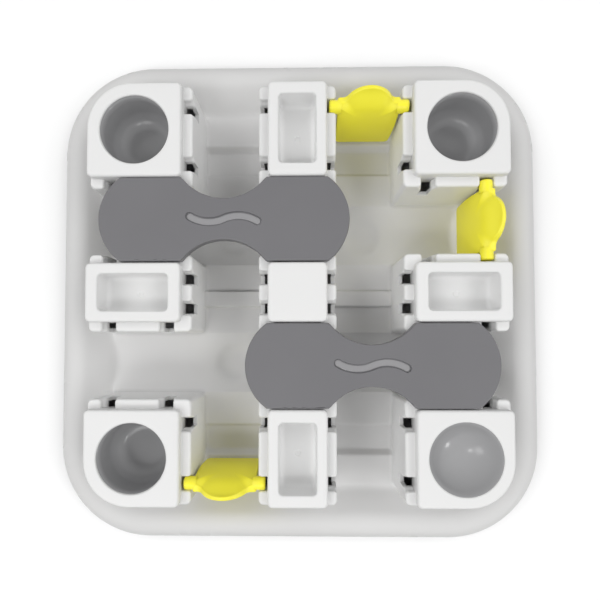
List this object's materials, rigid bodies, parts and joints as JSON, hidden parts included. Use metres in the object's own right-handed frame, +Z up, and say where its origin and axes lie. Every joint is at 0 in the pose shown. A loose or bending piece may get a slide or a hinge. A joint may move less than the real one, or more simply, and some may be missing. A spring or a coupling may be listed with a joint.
{
  "type": "cat slow feeder",
  "caption": "Square white food-puzzle board for cats with cups and wells in hollow towers, sliding grey covers on the ledges and yellow flaps that swing across the lanes.",
  "frame": {"origin": "middle of the board on the surface it stands on, at the underside of the feet", "axes": "+X to the board's right and +Y to its back as the picture shows it, +Z up"},
  "size_m": [0.312, 0.312, 0.0592],
  "materials": {
    "white_plastic": "smooth glossy moulding",
    "grey_plastic": "satin moulding",
    "yellow_plastic": "satin moulding",
    "black_rubber": "matt rubber"
  },
  "bodies": {
    "board": {"tray": "white_plastic", "tower_back_left": "white_plastic", "tower_back_middle": "white_plastic", "tower_back_right": "white_plastic", "tower_middle_left": "white_plastic", "tower_centre": "white_plastic", "tower_middle_right": "white_plastic", "tower_front_left": "white_plastic", "tower_front_middle": "white_plastic", "tower_front_right": "white_plastic", "foot_back_left": "black_rubber", "foot_back_right": "black_rubber", "foot_front_left": "black_rubber", "foot_front_right": "black_rubber"},
    "back_cover": {"cover_back": "grey_plastic"},
    "front_cover": {"cover_front": "grey_plastic"},
    "back_flap": {"flap_back": "yellow_plastic"},
    "right_flap": {"flap_right": "yellow_plastic"},
    "front_flap": {"flap_front": "yellow_plastic"}
  },
  "joints": [
    {"name": "back_cover_slide", "type": "slide", "parent": "board", "child": "back_cover", "axis": [1, 0, 0], "range_m": [-0.007, 0.06]},
    {"name": "front_cover_slide", "type": "slide", "parent": "board", "child": "front_cover", "axis": [1, 0, 0], "range_m": [-0.085, 0.007]},
    {"name": "back_flap_hinge", "type": "hinge", "parent": "board", "child": "back_flap", "pos_m": [0.04215, 0.11025, 0.0468], "axis": [1, 0, 0], "range_deg": [-45, 70]},
    {"name": "right_flap_hinge", "type": "hinge", "parent": "board", "child": "right_flap", "pos_m": [0.11025, 0.04215, 0.0468], "axis": [0, -1, 0], "range_deg": [-45, 70]},
    {"name": "front_flap_hinge", "type": "hinge", "parent": "board", "child": "front_flap", "pos_m": [-0.04215, -0.11025, 0.0468], "axis": [-1, 0, 0], "range_deg": [-45, 70]}
  ]
}
